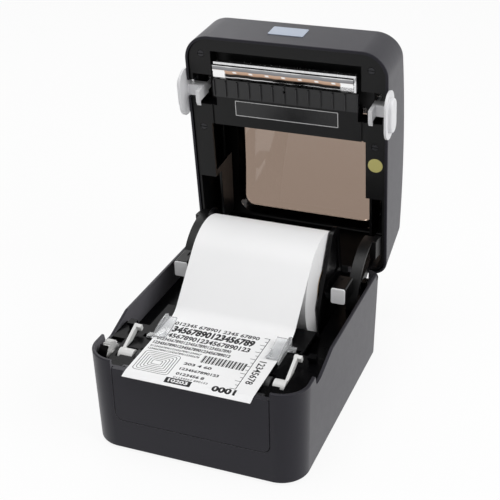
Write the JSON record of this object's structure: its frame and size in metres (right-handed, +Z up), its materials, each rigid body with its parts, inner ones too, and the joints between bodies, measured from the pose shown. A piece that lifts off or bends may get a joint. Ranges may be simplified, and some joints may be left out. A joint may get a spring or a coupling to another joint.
{
  "type": "thermal label printer",
  "caption": "Desktop label printer with its hinged lid open: loaded roll, sliding roll holders, driven platen, floating print head, side latches and a smoked window.",
  "frame": {"origin": "middle of the open printer's outline, seen from above, at the undersides of the feet", "axes": "+X to the printer's right, +Y to the rear, +Z up"},
  "size_m": [0.1898, 0.2886, 0.2797],
  "materials": {
    "charcoal_plastic": "fine spark-eroded texture",
    "black_plastic": "satin moulded",
    "smoked_plastic": "smoked transparent",
    "light_grey_plastic": "satin moulded",
    "white_plastic": "satin moulded",
    "clear_plastic": "frosted clear",
    "paper": "coated white label paper",
    "cardboard": "plain wound cardboard",
    "rubber": "plain",
    "steel": "bright",
    "bright_steel": "polished",
    "aluminium": "satin",
    "ceramic": "glazed",
    "board": "lacquered",
    "motor_metal": "black with a plain can",
    "light_lens": "translucent green"
  },
  "bodies": {
    "base": {"base_housing": "charcoal_plastic", "bottom_plate": "black_plastic", "rubber_feet": "rubber", "base_screws": "steel", "front_panel": "charcoal_plastic", "media_tub": "black_plastic", "tear_bar": "steel", "gap_sensor": "black_plastic", "label_web": "paper", "idler_stud": "steel", "gear_plate": "steel", "stepper_motor": "motor_metal", "motor_screws": "steel", "main_board": "board", "power_jack": "black_plastic", "usb_port": "steel", "power_switch_body": "black_plastic", "hinge_pin_left": "steel", "hinge_pin_right": "steel"},
    "platen": {"platen_shaft": "steel", "platen_rubber": "rubber", "platen_gear": "white_plastic"},
    "idler": {"idler_gear": "white_plastic"},
    "motor_rotor": {"motor_pinion": "steel", "motor_shaft": "steel"},
    "lever_left": {"platen_lever_left": "white_plastic"},
    "lever_right": {"platen_lever_right": "white_plastic"},
    "holder_left": {"roll_guide_left": "black_plastic"},
    "holder_right": {"roll_guide_right": "black_plastic"},
    "holder_pinion": {"guide_pinion": "white_plastic"},
    "edge_left": {"edge_guide_left": "clear_plastic"},
    "edge_right": {"edge_guide_right": "clear_plastic"},
    "edge_pinion": {"edge_guide_pinion": "white_plastic"},
    "roll": {"label_roll": "paper", "roll_core": "cardboard"},
    "rocker": {"power_rocker": "black_plastic"},
    "lid": {"lid_shell": "charcoal_plastic", "lid_window": "smoked_plastic", "lid_liner": "black_plastic", "ribbed_guide": "black_plastic", "lid_screws": "steel", "button_board": "board", "status_light": "light_lens"},
    "latch_left": {"latch_button_left": "light_grey_plastic", "latch_spring_left": "steel"},
    "latch_right": {"latch_button_right": "light_grey_plastic", "latch_spring_right": "steel"},
    "print_head": {"print_head_bracket": "aluminium", "print_head_cover": "bright_steel", "print_head_ceramic": "ceramic", "head_spring_left": "steel", "head_spring_right": "steel"},
    "feed": {"feed_button": "light_grey_plastic"}
  },
  "joints": [
    {"name": "lid_hinge", "type": "hinge", "parent": "base", "child": "lid", "pos_m": [0, 0.07274, 0.064], "axis": [1, 0, 0], "range_deg": [0, 83.7]},
    {"name": "latch_left_slide", "type": "slide", "parent": "lid", "child": "latch_left", "axis": [0, -0.1097, 0.994], "range_m": [0, 0.004], "stiffness_N_per_m": 700, "springref_m": -0.002, "deforming": ["latch_spring_left"]},
    {"name": "latch_right_slide", "type": "slide", "parent": "lid", "child": "latch_right", "axis": [0, -0.1097, 0.994], "range_m": [0, 0.004], "stiffness_N_per_m": 700, "springref_m": -0.002, "deforming": ["latch_spring_right"]},
    {"name": "print_head_float", "type": "slide", "parent": "lid", "child": "print_head", "axis": [0, 0.994, 0.1097], "range_m": [0, 0.0015], "stiffness_N_per_m": 4000, "springref_m": -0.001, "deforming": ["head_spring_left", "head_spring_right"]},
    {"name": "feed_press", "type": "slide", "parent": "lid", "child": "feed", "axis": [0, -0.994, -0.1097], "range_m": [0, 0.0008], "stiffness_N_per_m": 1200, "springref_m": -0.0004},
    {"name": "platen_spin", "type": "hinge", "parent": "base", "child": "platen", "pos_m": [0, -0.10976, 0.0707], "axis": [1, 0, 0], "continuous": true},
    {"name": "idler_spin", "type": "hinge", "parent": "base", "child": "idler", "pos_m": [0, -0.09448, 0.05543], "axis": [1, 0, 0], "continuous": true},
    {"name": "motor_spin", "type": "hinge", "parent": "base", "child": "motor_rotor", "pos_m": [0, -0.09448, 0.03863], "axis": [1, 0, 0], "continuous": true},
    {"name": "lever_left_lift", "type": "hinge", "parent": "base", "child": "lever_left", "pos_m": [0, -0.10976, 0.0707], "axis": [1, 0, 0], "range_deg": [0, 25]},
    {"name": "lever_right_lift", "type": "hinge", "parent": "base", "child": "lever_right", "pos_m": [0, -0.10976, 0.0707], "axis": [1, 0, 0], "range_deg": [0, 25]},
    {"name": "holder_right_slide", "type": "slide", "parent": "base", "child": "holder_right", "axis": [1, 0, 0], "range_m": [0, 0.0055], "stiffness_N_per_m": 200, "springref_m": -0.01},
    {"name": "holder_left_slide", "type": "slide", "parent": "base", "child": "holder_left", "axis": [1, 0, 0], "range_m": [-0.0055, 0]},
    {"name": "holder_pinion_spin", "type": "hinge", "parent": "base", "child": "holder_pinion", "pos_m": [0, 0.02324, 0.086], "axis": [0, 0, 1], "range_deg": [-40, 0]},
    {"name": "edge_right_slide", "type": "slide", "parent": "base", "child": "edge_right", "axis": [1, 0, 0], "range_m": [0, 0.004]},
    {"name": "edge_left_slide", "type": "slide", "parent": "base", "child": "edge_left", "axis": [1, 0, 0], "range_m": [-0.004, 0]},
    {"name": "edge_pinion_spin", "type": "hinge", "parent": "base", "child": "edge_pinion", "pos_m": [0, -0.07476, 0.066], "axis": [0, 0, 1], "range_deg": [-39, 0]},
    {"name": "roll_spin", "type": "hinge", "parent": "base", "child": "roll", "pos_m": [0, 0.02324, 0.086], "axis": [1, 0, 0], "continuous": true},
    {"name": "rocker_tilt", "type": "hinge", "parent": "base", "child": "rocker", "pos_m": [0.055, 0.07351, 0.02417], "axis": [1, 0, 0], "range_deg": [0, 16]}
  ],
  "couplings": [
    {"joint": "idler_spin", "follows": "platen_spin", "ratio": -0.8},
    {"joint": "motor_spin", "follows": "platen_spin", "ratio": 2},
    {"joint": "holder_left_slide", "follows": "holder_right_slide", "ratio": -1},
    {"joint": "holder_pinion_spin", "follows": "holder_right_slide", "rad_per_m": -125},
    {"joint": "edge_left_slide", "follows": "edge_right_slide", "ratio": -1},
    {"joint": "edge_pinion_spin", "follows": "edge_right_slide", "rad_per_m": -166.67}
  ]
}
